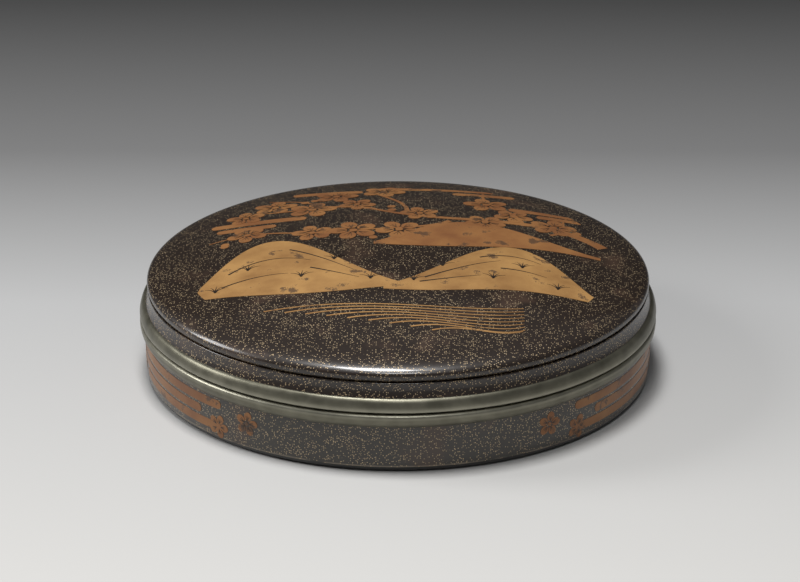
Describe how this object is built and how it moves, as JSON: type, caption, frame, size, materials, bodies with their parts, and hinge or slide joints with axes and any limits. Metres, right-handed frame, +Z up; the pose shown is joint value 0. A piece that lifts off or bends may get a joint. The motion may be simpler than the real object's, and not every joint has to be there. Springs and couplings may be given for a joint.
{
  "type": "round lacquer mirror box",
  "caption": "Round lidded box of lacquered wood with pewter mouldings at the seam and a domed lid, holding a cast bronze mirror on a silk pad.",
  "frame": {"origin": "centre of the flat underside, on the floor", "axes": "+Z up, the way the lid and the mirror lift; +Y away from the picture's viewer, +X to the viewer's right"},
  "size_m": [0.128, 0.128, 0.033],
  "materials": {
    "sprinkled_lacquer": "dark lacquer over wood, sprinkled with gold flakes, polished",
    "black_lacquer": "black lacquer over wood, satin",
    "pewter": "dull grey-green pewter",
    "peg_wood": "bare split bamboo",
    "silk": "woven silk",
    "bronze": "cast bronze, face polished"
  },
  "bodies": {
    "box": {"base_board": "black_lacquer", "box_hoop": "sprinkled_lacquer", "riser_hoop": "black_lacquer", "box_rim": "pewter", "mirror_pad": "silk", "base_peg_1": "peg_wood", "base_peg_2": "peg_wood", "base_peg_3": "peg_wood", "base_peg_4": "peg_wood", "base_peg_5": "peg_wood", "base_peg_6": "peg_wood"},
    "lid": {"lid_top_board": "sprinkled_lacquer", "lid_hoop": "sprinkled_lacquer", "lid_rim": "pewter", "lid_peg_1": "peg_wood", "lid_peg_2": "peg_wood", "lid_peg_3": "peg_wood", "lid_peg_4": "peg_wood", "lid_peg_5": "peg_wood", "lid_peg_6": "peg_wood"},
    "mirror": {"mirror": "bronze"}
  },
  "joints": [
    {"name": "lid_lift", "type": "slide", "parent": "box", "child": "lid", "axis": [0, 0, 1], "range_m": [0, 0.14]},
    {"name": "mirror_lift", "type": "slide", "parent": "box", "child": "mirror", "axis": [0, 0, 1], "range_m": [0, 0.07]}
  ],
  "couplings": [
    {"joint": "mirror_lift", "follows": "lid_lift", "ratio": 0.5}
  ]
}
